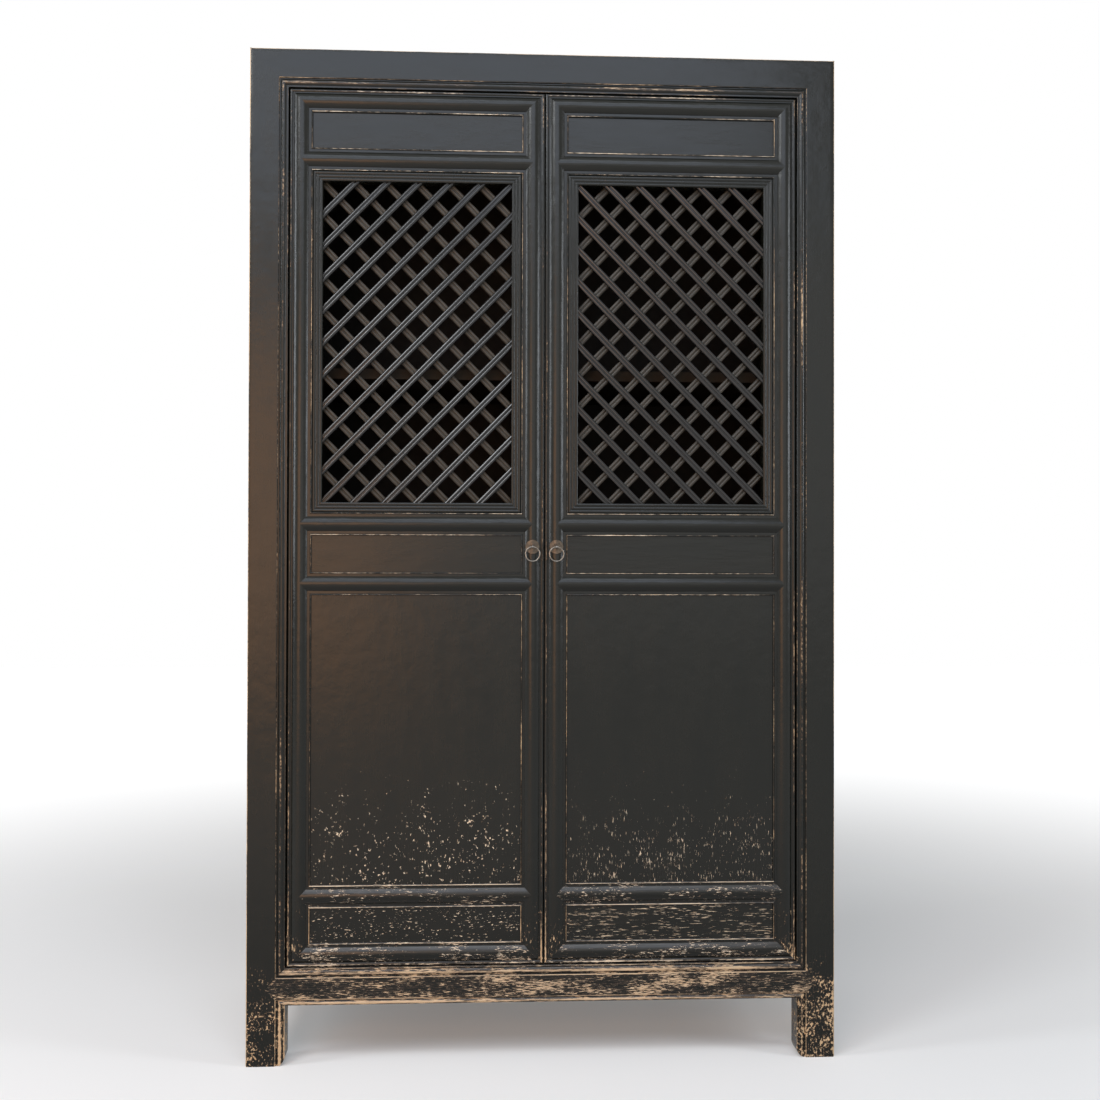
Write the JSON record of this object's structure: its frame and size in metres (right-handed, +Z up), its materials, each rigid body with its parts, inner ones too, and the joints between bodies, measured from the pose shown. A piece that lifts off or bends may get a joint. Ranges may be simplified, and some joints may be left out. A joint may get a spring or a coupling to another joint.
{
  "type": "chinese book cabinet",
  "caption": "Tall two-door cabinet with crossed diagonal lattice over solid panels, rounded mitred frames, ring pulls and wooden pivots.",
  "frame": {"origin": "middle of the footprint, on the floor", "axes": "+Z up, the doors face -Y, +X to the right when facing the doors"},
  "size_m": [1.1, 0.4588, 1.888],
  "materials": {
    "aged_brass": "hand-worked brass with a dull brown patina",
    "back_lacquer": "thin dark stain over pine",
    "frame_lacquer": "aged black lacquer over pine, worn through to bare wood on the arrises and beads",
    "inner_wood": "bare aged pine, darkened",
    "lattice_lacquer": "aged black lacquer over narrow pine bars, slightly glossy on the ridges",
    "panel_lacquer": "aged black lacquer over pine, thin, with small chips"
  },
  "bodies": {
    "cabinet": {"front_post_left": "frame_lacquer", "front_post_right": "frame_lacquer", "rear_post_left": "back_lacquer", "rear_post_right": "back_lacquer", "front_top_rail": "frame_lacquer", "rear_top_rail": "back_lacquer", "side_top_rail_left": "frame_lacquer", "side_top_rail_right": "frame_lacquer", "front_bottom_rail": "frame_lacquer", "rear_bottom_rail": "back_lacquer", "side_bottom_rail_left": "frame_lacquer", "side_bottom_rail_right": "frame_lacquer", "side_panel_left": "panel_lacquer", "side_panel_right": "panel_lacquer", "back_panel_left": "back_lacquer", "back_panel_right": "back_lacquer", "back_muntin": "back_lacquer", "top_panel": "panel_lacquer", "bottom_board": "inner_wood", "upper_shelf": "inner_wood", "lower_shelf": "inner_wood", "shelf_bearers_left": "inner_wood", "shelf_bearers_right": "inner_wood", "door_stops": "inner_wood"},
    "door_left": {"hinge_stile_left": "frame_lacquer", "meeting_stile_left": "frame_lacquer", "top_rail_left": "frame_lacquer", "frieze_rail_left": "frame_lacquer", "sill_rail_left": "frame_lacquer", "waist_rail_left": "frame_lacquer", "base_rail_left": "frame_lacquer", "bottom_rail_left": "frame_lacquer", "frieze_panel_left": "panel_lacquer", "waist_panel_left": "panel_lacquer", "large_panel_left": "panel_lacquer", "base_panel_left": "panel_lacquer", "lattice_sash_left": "lattice_lacquer", "lattice_front_bars_left": "lattice_lacquer", "lattice_rear_bars_left": "lattice_lacquer", "pull_plate_left": "aged_brass", "pull_cotter_left": "aged_brass"},
    "door_right": {"hinge_stile_right": "frame_lacquer", "meeting_stile_right": "frame_lacquer", "top_rail_right": "frame_lacquer", "frieze_rail_right": "frame_lacquer", "sill_rail_right": "frame_lacquer", "waist_rail_right": "frame_lacquer", "base_rail_right": "frame_lacquer", "bottom_rail_right": "frame_lacquer", "frieze_panel_right": "panel_lacquer", "waist_panel_right": "panel_lacquer", "large_panel_right": "panel_lacquer", "base_panel_right": "panel_lacquer", "lattice_sash_right": "lattice_lacquer", "lattice_front_bars_right": "lattice_lacquer", "lattice_rear_bars_right": "lattice_lacquer", "pull_plate_right": "aged_brass", "pull_cotter_right": "aged_brass"},
    "ring_left": {"pull_ring_left": "aged_brass"},
    "ring_right": {"pull_ring_right": "aged_brass"}
  },
  "joints": [
    {"name": "left_door", "type": "hinge", "parent": "cabinet", "child": "door_left", "pos_m": [-0.459, -0.211, 0.998], "axis": [0, 0, -1], "range_deg": [0, 105]},
    {"name": "right_door", "type": "hinge", "parent": "cabinet", "child": "door_right", "pos_m": [0.459, -0.211, 0.998], "axis": [0, 0, 1], "range_deg": [0, 105]},
    {"name": "left_ring", "type": "hinge", "parent": "door_left", "child": "ring_left", "pos_m": [-0.0225, -0.2304, 0.961], "axis": [-1, 0, 0], "range_deg": [0, 170]},
    {"name": "right_ring", "type": "hinge", "parent": "door_right", "child": "ring_right", "pos_m": [0.0225, -0.2304, 0.961], "axis": [-1, 0, 0], "range_deg": [0, 170]}
  ]
}
